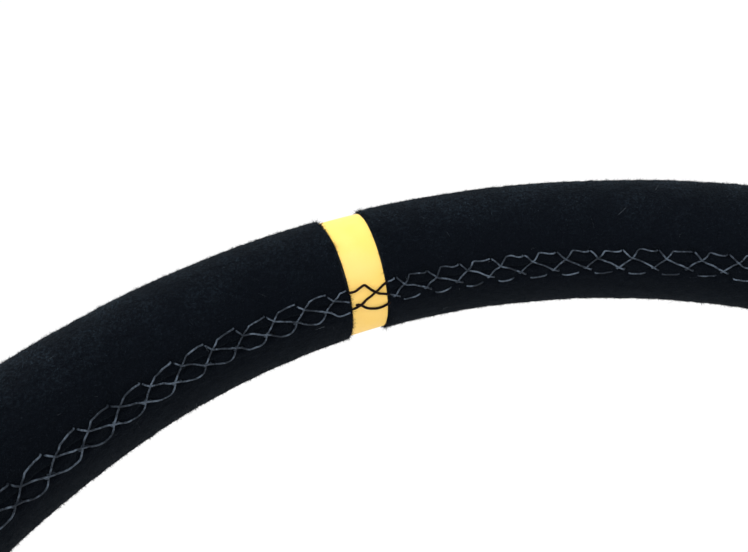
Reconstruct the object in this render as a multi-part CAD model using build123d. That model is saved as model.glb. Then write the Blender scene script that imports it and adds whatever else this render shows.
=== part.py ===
from build123d import *
import math
import os

# Quick release racing steering wheel: a suede-wrapped three-spoke wheel bolted to a
# ball-lock quick release, and the splined spindle that stays on the steering column.
#
# Everything is drawn lying face up: the steering axis is Z, the driver is towards +Z,
# the column mouth is at Z = 0 and twelve o'clock is +Y. export() then stands it upright,
# so that in the finished part +Z is twelve o'clock and the driver is on the -Y side.
# The wheel is drawn seated on its spindle with the release collar drawn towards the
# driver, which is the pose in which the wheel can slide off. Lengths are millimetres.

# ---- rim -----------------------------------------------------------------------------
wheel_diameter = 350.0
grip_radial = 31.0  # thickness of the grip in the plane of the wheel
grip_axial = 34.0  # thickness of the grip along the steering axis
dish = 45.0  # from the front of the spoke plate to the middle of the rim
core_bar = 10.0  # diameter of the steel ring inside the grip
suede_thickness = 1.2
glue_line = 0.05  # film of adhesive between the foam and the covers
marker_width = 11.0
marker_thickness = 0.55
sleeve_gap = 0.3  # between the ends of neighbouring suede sleeves
thread_thickness = 0.45
seam_low_deg = 181.0  # seam band round the grip section, 180 being the innermost line
seam_high_deg = 156.0
seam_clear_deg = 1.2  # from a spoke's edge to the end of the stitches

# ---- spoke plate and the ring on its front -------------------------------------------
plate_thickness = 4.0
hub_radius = 50.0
spoke_angles = (0.0, 180.0, 270.0)
spoke_root_half = 26.0
spoke_waist_half = 14.5
spoke_end_half = 21.0
spoke_start = 30.0  # radius inside the hub disc where the spokes' outline starts
spoke_waist_shift = 6.0  # of the waist, outwards from halfway along the spoke
spoke_corner = 9.0  # radius where a spoke meets the hub disc
dish_start = 56.0  # radius at which the spokes start to lean forward
dish_end = 126.0
bend_radius = 5.0  # on the inside of each bend
lightening_holes = ((70.0, 8.0), (90.0, 6.5), (107.0, 5.0))  # (distance from axis, radius)
trim_thickness = 3.0
trim_chamfer = 1.0
trim_web = 0.8  # left between the bolt heads and the ring's bore

# ---- six-bolt joint ------------------------------------------------------------------
bolt_circle = 70.0
bolt_count = 6
bolt_size = 5.0
bolt_length = 14.0
bolt_head = 9.4
bolt_clearance = 0.25  # radial, in the plate and the trim ring
hex_across_flats = 3.0
hex_depth = 2.0
bolt_point = 0.6  # chamfer on the bolt's end

# ---- boss between the wheel and the quick release ------------------------------------
boss_flange_thickness = 8.0
boss_flange_radius = 42.0
boss_body_radius = 35.0
boss_depth = 20.0
boss_floor = 6.0
boss_wire_hole = 14.0  # radius
boss_chamfer = 2.0
scallop_radius = 6.0
scallop_circle = 46.0  # radius of the circle that the scallop centres lie on

# ---- column spindle ------------------------------------------------------------------
column_bore = 19.2  # for a 19.05 mm (3/4 inch) column tube
column_bore_depth = 16.0
weld_boss_radius = 17.0
weld_boss_length = 20.0
weld_chamfer = 2.5
wire_hole_radius = 3.5
spindle_length = 52.0
spline_major = 11.0  # radius
spline_minor = 9.8
spline_count = 18
spline_width = 1.7
spline_clearance = 0.12
shoulder_relief = 2.8  # length of plain shank behind the splines
tip_chamfer = 1.2
o_ring_wire = 2.4
o_ring_gap = 0.4  # from the ring to the sleeve around it

# ---- locking sleeve ------------------------------------------------------------------
seat_gap = 0.3  # between the spindle's shoulder and the sleeve
sleeve_radius = spline_major + 4.3
sleeve_flange_radius = 25.0
sleeve_flange_thickness = 6.0
sleeve_barrel_end = 54.0
sleeve_relief_radius = spline_major + 0.6
sleeve_relief_start = 48.0
sleeve_wire_hole = 8.0  # radius
screw_circle = 38.0
screw_count = 6
screw_size = 4.0
screw_length = 9.0
screw_blind = 0.5  # left under the tapped holes
screw_head_radius = 3.5
screw_head_height = 2.8
screw_hex = 2.5

# ---- ball lock -----------------------------------------------------------------------
ball_count = 6
ball_diameter = 6.0
ball_station = 40.0  # distance of the balls from the column mouth
ball_locked_radius = spline_major + 1.4  # of the ball centres, seated in the groove
ball_lift = 1.8  # how far each ball moves out
ball_play = 0.1
groove_play = 0.15
collar_travel = 8.0

# ---- release collar ------------------------------------------------------------------
collar_length = 22.0
collar_stop_gap = 0.5  # to the sleeve flange with the collar fully drawn
collar_play = 0.06
collar_wall = 3.3  # outside the spring pocket
pull_flange_reach = 5.5  # beyond the collar's body
pull_flange_thickness = 6.5
pull_flange_flutes = 18
flute_radius = 3.2
flute_sink = 1.76  # from the flange's edge out to the middle of each flute
collar_chamfer = 1.5
collar_nose_chamfer = 1.0
rear_land = 5.0
pocket_gap = 3.9  # from the sleeve out to the spring pocket
pocket_width = 4.0
pocket_floor = 9.5  # thickness of the collar behind the pocket
spring_wire = 2.0
spring_turns = 4.5
circlip_thickness = 1.2
circlip_bite = 0.9
circlip_stand = 2.2
circlip_gap_deg = 24.0
circlip_eye = 2.2  # radius of the lugs, and of the holes for the pliers
circlip_eye_hole = 0.9
circlip_eye_deg = 7.0  # from each end of the clip to the middle of its lug
circlip_eye_out = 0.8

# ---- horn button ---------------------------------------------------------------------
horn_bore_play = 0.3
horn_wall = 2.8
horn_floor = 2.0
horn_housing_bottom_gap = 4.0  # above the boss floor, over the screw heads
bezel_overlap = 0.5
bezel_height = 1.6
bezel_chamfer = 0.6
horn_chamfer = 1.0
lip_width = 1.0
lip_depth = 2.6
horn_travel = 2.5
cap_play = 0.35
cap_wall = 2.5
cap_skirt = 6.5
cap_rise = 1.2  # of the cap's edge above the bezel
cap_crown = 2.2  # further rise at the middle
contact_gap = 0.2  # left between the contacts with the cap fully pressed
contact_thickness = 0.8
fixed_contact_radius = 7.0
moving_contact_radius = 6.0
cap_post_radius = 4.5
seat_inner = 9.8
seat_outer = 12.6
horn_spring_wire = 0.9
horn_spring_turns = 5.5
blade_width = 6.3
blade_thickness = 0.8
blade_length = 10.5
blade_play = 0.1

# ---- stations along the steering axis, worked out from the sizes above ---------------
sleeve_flange_top = sleeve_barrel_end + sleeve_flange_thickness
boss_bottom = sleeve_flange_top
boss_top = boss_bottom + boss_depth
plate_top = boss_top + plate_thickness
trim_top = plate_top + trim_thickness
rim_station = plate_top + dish
rim_radius = (wheel_diameter - grip_radial) / 2
foam_radial = grip_radial / 2 - suede_thickness
foam_axial = grip_axial / 2 - suede_thickness
hub_bore = bolt_circle / 2 - bolt_head / 2 - trim_web
horn_outer = hub_bore - horn_bore_play
pocket_inner = sleeve_radius + pocket_gap
pocket_outer = pocket_inner + pocket_width
collar_radius = pocket_outer + collar_wall
pull_flange_radius = collar_radius + pull_flange_reach
collar_top = sleeve_barrel_end - collar_stop_gap
collar_bottom = collar_top - collar_length
ramp = ball_lift / collar_travel
marker_half_deg = math.degrees(math.asin(marker_width / 2 / rim_radius))
gap_half_deg = math.degrees(sleeve_gap / 2 / rim_radius)
spoke_half_deg = math.degrees(math.asin(spoke_end_half / (rim_radius - grip_radial / 2)))


def turned(*points):
    """A solid of revolution from (radius, height) corners."""
    return revolve(make_face(Plane.XZ * Polyline(*points, close=True)), Axis.Z)


def ring(inner, outer, low, high):
    return turned((inner, low), (outer, low), (outer, high), (inner, high))


def rod(radius, low, high):
    return Pos(0, 0, low) * extrude(Circle(radius), high - low)


def around(count, radius, first_deg=0.0):
    """Places on a circle, the first at first_deg."""
    return PolarLocations(radius, count, start_angle=first_deg)


def grip_section(radial, axial):
    """The grip's oval section, standing in the XZ plane at the rim."""
    return Plane.XZ * Pos(rim_radius, rim_station) * Ellipse(radial, axial)


def arc_of(section, start_deg, end_deg):
    """A section swept round the steering axis from one clock angle to another."""
    return Rot(0, 0, start_deg) * revolve(section, Axis.Z, revolution_arc=end_deg - start_deg)


def coil(mean_radius, wire, low, high, turns):
    """A compression spring: a helix of round wire with its ends on low and high."""
    rise = high - low - wire
    path = Pos(0, 0, low + wire / 2) * Helix(rise / turns, rise, mean_radius)
    start = Plane(origin=path @ 0, z_dir=path % 0)
    return sweep(start * Circle(wire / 2), path=path)


def socket_screw(size, length, head_radius, head_height, key):
    """Cylinder head screw, its head's underside at Z = 0 and its shank below."""
    head = rod(head_radius, 0, head_height) - Pos(0, 0, head_height / 2) * hexagon(key, head_height)
    return head + rod(size / 2, -length, 0)


def hexagon(across_flats, depth):
    return extrude(RegularPolygon(across_flats / 2, 6, major_radius=False), depth)


# ---- column side ---------------------------------------------------------------------
def spline_teeth(width, radius, low, high):
    """Straight-sided teeth, joined at the axis."""
    upwards = (Align.CENTER, Align.CENTER, Align.MIN)
    tooth = Pos(radius / 2, 0, low) * Box(radius, width, high - low, align=upwards)
    teeth = Part() + [place * tooth for place in around(spline_count, 0)]
    return teeth & rod(radius, low, high)


def lock_groove():
    """The round groove that the balls drop into."""
    section = Plane.XZ * Pos(ball_locked_radius, ball_station) * Circle(ball_diameter / 2 + groove_play)
    return revolve(section, Axis.Z)


def column_spindle():
    boss = turned(
        (0, 0),
        (weld_boss_radius - weld_chamfer, 0),
        (weld_boss_radius, weld_chamfer),
        (weld_boss_radius, weld_boss_length),
        (0, weld_boss_length),
    )
    shank = rod(spline_minor, weld_boss_length, spindle_length)
    first_tooth = weld_boss_length + shoulder_relief
    teeth = spline_teeth(spline_width, spline_major, first_tooth, spindle_length)
    lead_in = turned(
        (0, weld_boss_length),
        (weld_boss_radius, weld_boss_length),
        (spline_major, first_tooth + tip_chamfer),
        (spline_major, spindle_length - 2 * tip_chamfer),
        (spline_major - 1.5 * tip_chamfer, spindle_length),
        (0, spindle_length),
    )
    body = boss + ((shank + teeth) & lead_in)
    body -= lock_groove()
    body -= rod(column_bore / 2, 0, column_bore_depth)
    return body - rod(wire_hole_radius, 0, spindle_length)


def spindle_o_ring():
    """Takes up the rattle between the spindle's shoulder and the sleeve."""
    middle = spline_minor + o_ring_wire / 2
    height = weld_boss_length + o_ring_wire / 2
    return revolve(Plane.XZ * Pos(middle, height) * Circle(o_ring_wire / 2), Axis.Z)


# ---- quick release, wheel side -------------------------------------------------------
def ball_hole():
    """Bored from outside, with a round seat that stops the ball falling inwards."""
    radius = ball_diameter / 2 + ball_play
    bore = Pos(ball_locked_radius, 0, ball_station) * Rot(0, 90, 0) * extrude(Circle(radius), sleeve_radius)
    return bore + Pos(ball_locked_radius, 0, ball_station) * Sphere(radius)


def locking_sleeve():
    rear = weld_boss_length + seat_gap
    o_ring_outer = spline_minor + o_ring_wire + o_ring_gap
    counterbore_end = weld_boss_length + o_ring_wire + o_ring_gap
    body = rod(sleeve_radius, rear, sleeve_barrel_end)
    body += rod(sleeve_flange_radius, sleeve_barrel_end, sleeve_flange_top)
    body -= rod(spline_minor + spline_clearance, rear, sleeve_relief_start)
    body -= spline_teeth(
        spline_width + 2 * spline_clearance, spline_major + spline_clearance, rear, sleeve_relief_start
    )
    body -= rod(o_ring_outer, rear, counterbore_end)
    body -= rod(sleeve_relief_radius, sleeve_relief_start, sleeve_barrel_end + 1)
    body -= rod(sleeve_wire_hole, sleeve_relief_start, sleeve_flange_top)
    body -= [place * ball_hole() for place in around(ball_count, 0, 90)]
    body -= circlip_groove()
    tapped = rod(screw_size / 2, sleeve_barrel_end + screw_blind, sleeve_flange_top)
    return body - [place * tapped for place in around(screw_count, screw_circle / 2)]


def circlip_station():
    """Underside of the circlip: just behind the collar in its locked place."""
    return collar_bottom - collar_travel - collar_stop_gap - circlip_thickness


def circlip_groove():
    low = circlip_station()
    return ring(sleeve_radius - circlip_bite, sleeve_radius + 1, low, low + circlip_thickness)


def sleeve_circlip():
    low = circlip_station()
    inner = sleeve_radius - circlip_bite
    outer = sleeve_radius + circlip_stand
    section = Plane.XZ * Pos((inner + outer) / 2, low + circlip_thickness / 2)
    section *= Rectangle(outer - inner, circlip_thickness)
    clip = arc_of(section, 270 + circlip_gap_deg / 2, 630 - circlip_gap_deg / 2)
    high = low + circlip_thickness
    for side in (-1, 1):
        angle = 270 + side * (circlip_gap_deg / 2 + circlip_eye_deg)
        eye = Rot(0, 0, angle) * Pos((inner + outer) / 2 + circlip_eye_out, 0, 0)
        clip += eye * rod(circlip_eye, low, high) - rod(inner, low - 1, high + 1)
        clip -= eye * rod(circlip_eye_hole, low, high)
    return clip


def lock_ball(number):
    """A ball, moved out of the groove as far as the drawn collar lets it."""
    place = around(ball_count, ball_locked_radius + ball_lift, 90).locations[number]
    return place * Pos(0, 0, ball_station) * Sphere(ball_diameter / 2)


def release_collar():
    """Tapered inside, so that sliding it towards the column presses the balls inwards."""
    land = sleeve_radius + collar_play
    contact = ball_diameter / 2 * math.hypot(1, ramp) + ball_play
    over_ball = ball_locked_radius + ball_lift + contact
    taper_start = collar_bottom + rear_land
    taper_wide = over_ball + ramp * (ball_station - taper_start)
    taper_end = ball_station + (over_ball - land) / ramp
    flange_top = collar_bottom + pull_flange_thickness
    body = turned(
        (land, collar_bottom),
        (pull_flange_radius - collar_chamfer, collar_bottom),
        (pull_flange_radius, collar_bottom + collar_chamfer),
        (pull_flange_radius, flange_top - collar_chamfer),
        (pull_flange_radius - collar_chamfer, flange_top),
        (collar_radius + collar_chamfer, flange_top),
        (collar_radius, flange_top + collar_chamfer),
        (collar_radius, collar_top - collar_nose_chamfer),
        (collar_radius - collar_nose_chamfer, collar_top),
        (pocket_outer, collar_top),
        (pocket_outer, collar_bottom + pocket_floor),
        (pocket_inner, collar_bottom + pocket_floor),
        (pocket_inner, collar_top),
        (land, collar_top),
        (land, taper_end),
        (taper_wide, taper_start),
        (land, taper_start),
    )
    flute = rod(flute_radius, collar_bottom, flange_top)
    flutes = around(pull_flange_flutes, pull_flange_radius + flute_sink)
    return body - [place * flute for place in flutes]


def collar_spring():
    middle = (pocket_inner + pocket_outer) / 2
    return coil(middle, spring_wire, collar_bottom + pocket_floor, sleeve_barrel_end, spring_turns)


# ---- boss and its fasteners ----------------------------------------------------------
def wheel_boss():
    flange_low = boss_top - boss_flange_thickness
    body = turned(
        (boss_wire_hole, boss_bottom),
        (boss_body_radius - boss_chamfer, boss_bottom),
        (boss_body_radius, boss_bottom + boss_chamfer),
        (boss_body_radius, flange_low),
        (boss_flange_radius, flange_low),
        (boss_flange_radius, boss_top),
        (hub_bore, boss_top),
        (hub_bore, boss_bottom + boss_floor),
        (boss_wire_hole, boss_bottom + boss_floor),
    )
    scallop = rod(scallop_radius, flange_low, boss_top)
    body -= [place * scallop for place in around(bolt_count, scallop_circle, 180 / bolt_count)]
    tapped = rod(bolt_size / 2, flange_low, boss_top)
    body -= [place * tapped for place in around(bolt_count, bolt_circle / 2)]
    clear = rod(screw_size / 2 + bolt_clearance, boss_bottom, boss_bottom + boss_floor)
    return body - [place * clear for place in around(screw_count, screw_circle / 2)]


def sleeve_screws():
    screw = socket_screw(screw_size, screw_length, screw_head_radius, screw_head_height, screw_hex)
    screw = Pos(0, 0, boss_bottom + boss_floor) * screw
    return Compound([place * screw for place in around(screw_count, screw_circle / 2)])


def wheel_bolt():
    """Countersunk socket bolt, its head flush with the trim ring."""
    cone = (bolt_head - bolt_size) / 2
    body = turned(
        (0, trim_top - bolt_length),
        (bolt_size / 2 - bolt_point, trim_top - bolt_length),
        (bolt_size / 2, trim_top - bolt_length + bolt_point),
        (bolt_size / 2, trim_top - cone),
        (bolt_head / 2, trim_top),
        (0, trim_top),
    )
    return body - Pos(0, 0, trim_top - hex_depth) * hexagon(hex_across_flats, hex_depth)


def wheel_bolts():
    return Compound([place * wheel_bolt() for place in around(bolt_count, bolt_circle / 2)])


def countersink():
    cone = (bolt_head - bolt_size) / 2
    shank = bolt_size / 2 + bolt_clearance
    return turned(
        (0, plate_top),
        (shank, plate_top),
        (shank, trim_top - cone + bolt_clearance),
        (bolt_head / 2, trim_top),
        (0, trim_top),
    )


def trim_ring():
    body = turned(
        (hub_bore, plate_top),
        (boss_flange_radius, plate_top),
        (boss_flange_radius, trim_top - trim_chamfer),
        (boss_flange_radius - trim_chamfer, trim_top),
        (hub_bore, trim_top),
    )
    return body - [place * countersink() for place in around(bolt_count, bolt_circle / 2)]


# ---- wheel ---------------------------------------------------------------------------
def core_torus():
    return revolve(Plane.XZ * Pos(rim_radius, rim_station) * Circle(core_bar / 2), Axis.Z)


def dished_disc():
    """The sheet that the spokes are cut from: flat, then leaning forward, then flat."""
    half = plate_thickness / 2
    middle = plate_top - half
    lean = math.atan2(rim_station - middle, dish_end - dish_start)
    shift = half * math.tan(lean / 2)
    section = make_face(
        Polyline(
            (0, middle - half),
            (dish_start + shift, middle - half),
            (dish_end + shift, rim_station - half),
            (rim_radius, rim_station - half),
            (rim_radius, rim_station + half),
            (dish_end - shift, rim_station + half),
            (dish_start - shift, middle + half),
            (0, middle + half),
            close=True,
        )
    )
    bends = section.vertices().filter_by(lambda v: hub_radius - 20 < v.X < rim_radius - 1)
    inside = [v for v in bends if (v.X < dish_start) == (v.Y > middle) and v.X < hub_radius + 30]
    inside += [v for v in bends if v.X > hub_radius + 30 and v.Y < rim_station]
    outside = [v for v in bends if v not in inside]
    section = fillet(inside, bend_radius)
    corners = [min(section.vertices(), key=lambda v: math.dist((v.X, v.Y), (o.X, o.Y))) for o in outside]
    section = fillet(corners, bend_radius + plate_thickness)
    return revolve(Plane.XZ * section, Axis.Z)


def spoke_outline():
    """Waisted spoke along +X, from inside the hub disc to the middle of the rim."""
    waist = (hub_radius + rim_radius) / 2 + spoke_waist_shift
    points = ((spoke_start, spoke_root_half), (waist, spoke_waist_half), (rim_radius, spoke_end_half))
    upper = ThreePointArc(*points)
    lower = mirror(upper, Plane.XZ)
    ends = Line(upper @ 0, lower @ 0) + Line(upper @ 1, lower @ 1)
    return make_face(Curve() + [upper, lower] + ends)


def spoke_plate():
    outline = Circle(hub_radius) + [Rot(0, 0, a) * spoke_outline() for a in spoke_angles]
    inner_corners = [v for v in outline.vertices() if abs(math.hypot(v.X, v.Y) - hub_radius) < 0.5]
    outline = fillet(inner_corners, spoke_corner)
    plate = dished_disc() & extrude(outline, rim_station + grip_axial)
    plate -= rod(hub_bore, 0, trim_top)
    bolt_hole = rod(bolt_size / 2 + bolt_clearance, 0, trim_top)
    plate -= [place * bolt_hole for place in around(bolt_count, bolt_circle / 2)]
    for angle in spoke_angles:
        for distance, radius in lightening_holes:
            plate -= Rot(0, 0, angle) * Pos(distance, 0, 0) * rod(radius, 0, rim_station + grip_axial)
    return plate - core_torus()


def rim_foam(plate):
    foam = revolve(grip_section(foam_radial - glue_line, foam_axial - glue_line), Axis.Z)
    return foam - core_torus() - plate


def suede_sleeve(plate, start_deg, end_deg):
    outer = grip_section(grip_radial / 2, grip_axial / 2)
    section = outer - grip_section(foam_radial, foam_axial)
    return arc_of(section, start_deg, end_deg) - plate


def centre_marker():
    outer = grip_section(foam_radial + marker_thickness, foam_axial + marker_thickness)
    section = outer - grip_section(foam_radial, foam_axial)
    return arc_of(section, 90 - marker_half_deg + gap_half_deg, 90 + marker_half_deg - gap_half_deg)


def seam_thread(below, start_deg, end_deg):
    """The band of stitches on the inside of the grip, lying on a cover below thick."""
    radial = foam_radial + below
    axial = foam_axial + below
    outer = grip_section(radial + thread_thickness, axial + thread_thickness)
    reach = grip_axial
    corners = [(rim_radius, rim_station)]
    for angle in (seam_low_deg, (seam_low_deg + seam_high_deg) / 2, seam_high_deg):
        turn = math.radians(angle)
        corners.append((rim_radius + reach * math.cos(turn), rim_station + reach * math.sin(turn)))
    wedge = Plane.XZ * make_face(Polyline(*corners, close=True))
    section = (outer - grip_section(radial, axial)) & wedge
    return arc_of(section, start_deg, end_deg)


# ---- horn button ---------------------------------------------------------------------
horn_bottom = boss_bottom + boss_floor + horn_housing_bottom_gap
horn_floor_top = horn_bottom + horn_floor
bezel_top = trim_top + bezel_height
lip_inner = horn_outer - horn_wall - lip_width
lip_bottom = bezel_top - lip_depth
cap_flange_top = lip_bottom - cap_play
moving_contact_low = horn_floor_top + contact_thickness + horn_travel + contact_gap


def terminal_places():
    """One blade under the fixed contact, one under the spring seat."""
    return (Pos(-fixed_contact_radius / 2, 0, 0), Pos((seat_inner + seat_outer) / 2, 0, 0))


def blade(play=0.0):
    size = (blade_thickness + play, blade_width + play, blade_length)
    return Pos(0, 0, horn_floor_top) * Box(*size, align=(Align.CENTER, Align.CENTER, Align.MAX))


def horn_housing():
    wall = horn_outer - horn_wall
    body = turned(
        (0, horn_bottom),
        (horn_outer - horn_chamfer, horn_bottom),
        (horn_outer, horn_bottom + horn_chamfer),
        (horn_outer, trim_top),
        (hub_bore + bezel_overlap, trim_top),
        (hub_bore + bezel_overlap - bezel_chamfer, bezel_top),
        (lip_inner, bezel_top),
        (lip_inner, lip_bottom),
        (wall, lip_bottom),
        (wall, horn_floor_top),
        (0, horn_floor_top),
    )
    return body - [place * blade(blade_play) for place in terminal_places()]


def horn_cap():
    """Crowned cap with a skirt under the housing's lip and a post for its contact."""
    inner = lip_inner - cap_play
    skirt = horn_outer - horn_wall - cap_play
    edge = bezel_top + cap_rise
    body = turned(
        (0, moving_contact_low + contact_thickness),
        (cap_post_radius, moving_contact_low + contact_thickness),
        (cap_post_radius, edge - cap_wall),
        (inner - cap_wall, edge - cap_wall),
        (inner - cap_wall, cap_flange_top - cap_skirt),
        (skirt, cap_flange_top - cap_skirt),
        (skirt, cap_flange_top),
        (inner, cap_flange_top),
        (inner, edge + cap_crown),
        (0, edge + cap_crown),
    )
    crown_radius = (inner**2 + cap_crown**2) / (2 * cap_crown)
    return body & Pos(0, 0, edge + cap_crown - crown_radius) * Sphere(crown_radius)


def horn_fixed_contact():
    return rod(fixed_contact_radius, horn_floor_top, horn_floor_top + contact_thickness)


def horn_moving_contact():
    return rod(moving_contact_radius, moving_contact_low, moving_contact_low + contact_thickness)


def horn_spring_seat():
    return ring(seat_inner, seat_outer, horn_floor_top, horn_floor_top + contact_thickness)


def horn_spring():
    low = horn_floor_top + contact_thickness
    high = bezel_top + cap_rise - cap_wall
    return coil((seat_inner + seat_outer) / 2, horn_spring_wire, low, high, horn_spring_turns)


def horn_terminals():
    return Compound([place * blade() for place in terminal_places()])


def all_parts():
    plate = spoke_plate()
    parts = {
        "column_spindle": column_spindle(),
        "spindle_o_ring": spindle_o_ring(),
        "locking_sleeve": locking_sleeve(),
        "sleeve_circlip": sleeve_circlip(),
        "sleeve_screws": sleeve_screws(),
        "release_collar": release_collar(),
        "collar_spring": collar_spring(),
        "wheel_boss": wheel_boss(),
        "wheel_bolts": wheel_bolts(),
        "trim_ring": trim_ring(),
        "spoke_plate": plate,
        "rim_core": core_torus(),
        "rim_foam": rim_foam(plate),
        "centre_marker": centre_marker(),
        "horn_housing": horn_housing(),
        "horn_cap": horn_cap(),
        "horn_fixed_contact": horn_fixed_contact(),
        "horn_moving_contact": horn_moving_contact(),
        "horn_spring_seat": horn_spring_seat(),
        "horn_spring": horn_spring(),
        "horn_terminals": horn_terminals(),
    }
    for number in range(ball_count):
        parts[f"lock_ball_{number + 1}"] = lock_ball(number)
    top = 90 - marker_half_deg
    ends = spoke_half_deg + seam_clear_deg
    sleeves = {
        "upper_right": (gap_half_deg, top, ends, top),
        "upper_left": (180 - top, 180 - gap_half_deg, 180 - top, 180 - ends),
        "lower_left": (180 + gap_half_deg, 270 - gap_half_deg, 180 + ends, 270 - ends),
        "lower_right": (270 + gap_half_deg, 360 - gap_half_deg, 270 + ends, 360 - ends),
    }
    for name, (start, end, seam_start, seam_end) in sleeves.items():
        parts[f"suede_{name}"] = suede_sleeve(plate, start, end)
        parts[f"seam_thread_{name}"] = seam_thread(suede_thickness, seam_start, seam_end)
    marker_half = marker_half_deg - 2 * gap_half_deg
    parts["marker_thread"] = seam_thread(marker_thickness, 90 - marker_half, 90 + marker_half)
    return parts


def export(parts):
    """Stands every piece upright and writes one file for each."""
    os.makedirs("parts", exist_ok=True)
    for name, shape in parts.items():
        export_step(Rot(90, 0, 0) * shape, f"parts/{name}.step")


export(all_parts())
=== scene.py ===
import math

import bmesh
import bpy
import numpy as np
from mathutils import Matrix, Vector, noise


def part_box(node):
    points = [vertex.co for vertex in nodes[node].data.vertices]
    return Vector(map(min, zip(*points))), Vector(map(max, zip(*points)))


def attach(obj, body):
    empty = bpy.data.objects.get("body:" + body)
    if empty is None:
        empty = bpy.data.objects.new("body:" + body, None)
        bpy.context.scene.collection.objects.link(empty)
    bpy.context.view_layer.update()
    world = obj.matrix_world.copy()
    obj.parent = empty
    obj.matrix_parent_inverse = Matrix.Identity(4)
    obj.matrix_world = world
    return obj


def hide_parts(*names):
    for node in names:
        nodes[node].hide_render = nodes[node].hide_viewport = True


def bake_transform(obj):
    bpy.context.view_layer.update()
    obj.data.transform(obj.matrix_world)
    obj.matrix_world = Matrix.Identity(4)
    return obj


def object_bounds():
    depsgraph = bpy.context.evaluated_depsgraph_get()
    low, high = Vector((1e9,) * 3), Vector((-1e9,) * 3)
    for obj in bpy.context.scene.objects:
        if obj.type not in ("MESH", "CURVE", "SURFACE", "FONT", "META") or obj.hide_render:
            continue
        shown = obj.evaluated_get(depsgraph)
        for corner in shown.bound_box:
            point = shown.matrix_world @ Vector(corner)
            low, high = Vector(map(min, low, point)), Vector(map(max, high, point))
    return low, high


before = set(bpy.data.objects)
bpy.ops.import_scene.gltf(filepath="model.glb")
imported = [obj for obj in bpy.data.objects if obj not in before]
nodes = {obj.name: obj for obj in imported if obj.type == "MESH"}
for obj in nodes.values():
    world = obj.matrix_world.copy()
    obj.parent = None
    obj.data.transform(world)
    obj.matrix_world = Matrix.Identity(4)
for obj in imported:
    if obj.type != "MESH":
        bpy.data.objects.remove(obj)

cadLow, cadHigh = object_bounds()
millimetre = 0.001
print("stage: frame loaded,", len(nodes), "parts")


class Wire:
    # one output socket; each sum on it adds a Math node
    def __init__(self, graph, socket):
        self.graph, self.socket = graph, socket

    def __add__(self, other):
        return self.graph.math("ADD", self, other)

    def __radd__(self, other):
        return self.graph.math("ADD", other, self)

    def __sub__(self, other):
        return self.graph.math("SUBTRACT", self, other)

    def __rsub__(self, other):
        return self.graph.math("SUBTRACT", other, self)

    def __mul__(self, other):
        return self.graph.math("MULTIPLY", self, other)

    def __rmul__(self, other):
        return self.graph.math("MULTIPLY", other, self)

    def __truediv__(self, other):
        return self.graph.math("DIVIDE", self, other)

    def __rtruediv__(self, other):
        return self.graph.math("DIVIDE", other, self)

    def __pow__(self, other):
        return self.graph.math("POWER", self, other)


class Graph:
    def __init__(self, tree):
        self.tree = tree

    def add(self, kind, settings=None, sockets=None):
        node = self.tree.nodes.new(kind)
        for name, value in (settings or {}).items():
            setattr(node, name, value)
        for key, value in (sockets or {}).items():
            self.feed(node.inputs[key], value)
        return node

    def feed(self, socket, value):
        if isinstance(value, Wire):
            self.tree.links.new(value.socket, socket)
        elif socket.type == "RGBA" and len(value) == 3:
            socket.default_value = (*value, 1.0)
        else:
            socket.default_value = value

    def outs(self, kind, settings=None, sockets=None):
        return [Wire(self, s) for s in self.add(kind, settings, sockets).outputs if s.enabled]

    def out(self, kind, settings=None, sockets=None, output=0):
        return self.outs(kind, settings, sockets)[output]

    def math(self, operation, *values):
        return self.out("ShaderNodeMath", {"operation": operation}, dict(enumerate(values)))

    def vector(self, operation, *values):
        return self.out("ShaderNodeVectorMath", {"operation": operation}, dict(enumerate(values)))

    def ramp(self, value, low, high):
        # 0 at low, 1 at high, smooth between
        sockets = {"Value": value, "From Min": low, "From Max": high}
        return self.out("ShaderNodeMapRange", {"interpolation_type": "SMOOTHSTEP"}, sockets)

    def mix(self, share, first, second):
        return self.out("ShaderNodeMix", {"data_type": "RGBA"}, {0: share, 6: first, 7: second})


class Finish(Graph):
    # a surface finish: a Principled shader and the patterns that feed it
    def __init__(self, name):
        self.material = bpy.data.materials.new(name)
        self.material.use_nodes = True
        super().__init__(self.material.node_tree)
        self.shader = self.tree.nodes["Principled BSDF"]
        self.place = self.out("ShaderNodeTexCoord", output=3)

    def noise(self, scale, detail=2.0, rough=0.5, place=None):
        sockets = {"Vector": place or self.place, "Scale": scale, "Detail": detail, "Roughness": rough}
        return self.out("ShaderNodeTexNoise", None, sockets)

    def cells(self, scale, feature="F1"):
        sockets = {"Vector": self.place, "Scale": scale}
        return self.out("ShaderNodeTexVoronoi", {"feature": feature}, sockets)

    def aroundAxis(self):
        # distance from the steering axis, and place along it
        x, y, z = self.outs("ShaderNodeSeparateXYZ", None, {0: self.place})
        return (x * x + z * z) ** 0.5, y

    def bump(self, height, depth, under=None):
        sockets = {"Height": height, "Distance": depth}
        if under:
            sockets["Normal"] = under
        return self.out("ShaderNodeBump", None, sockets)

    def edges(self, radius):
        # 1 on sharp edges, 0 on flats
        soft = self.out("ShaderNodeBevel", {"samples": 4}, {"Radius": radius})
        flat = self.outs("ShaderNodeNewGeometry")[1]
        dot = self.out("ShaderNodeVectorMath", {"operation": "DOT_PRODUCT"}, {0: soft, 1: flat}, -1)
        return self.ramp(dot, 0.995, 0.9)

    def set(self, **sockets):
        # socket names with underscores for their spaces
        for name, value in sockets.items():
            self.feed(self.shader.inputs[name.replace("_", " ")], value)
        return self.material


def giveMaterial(piece, material):
    piece.data.materials.clear()
    piece.data.materials.append(material)


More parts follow.
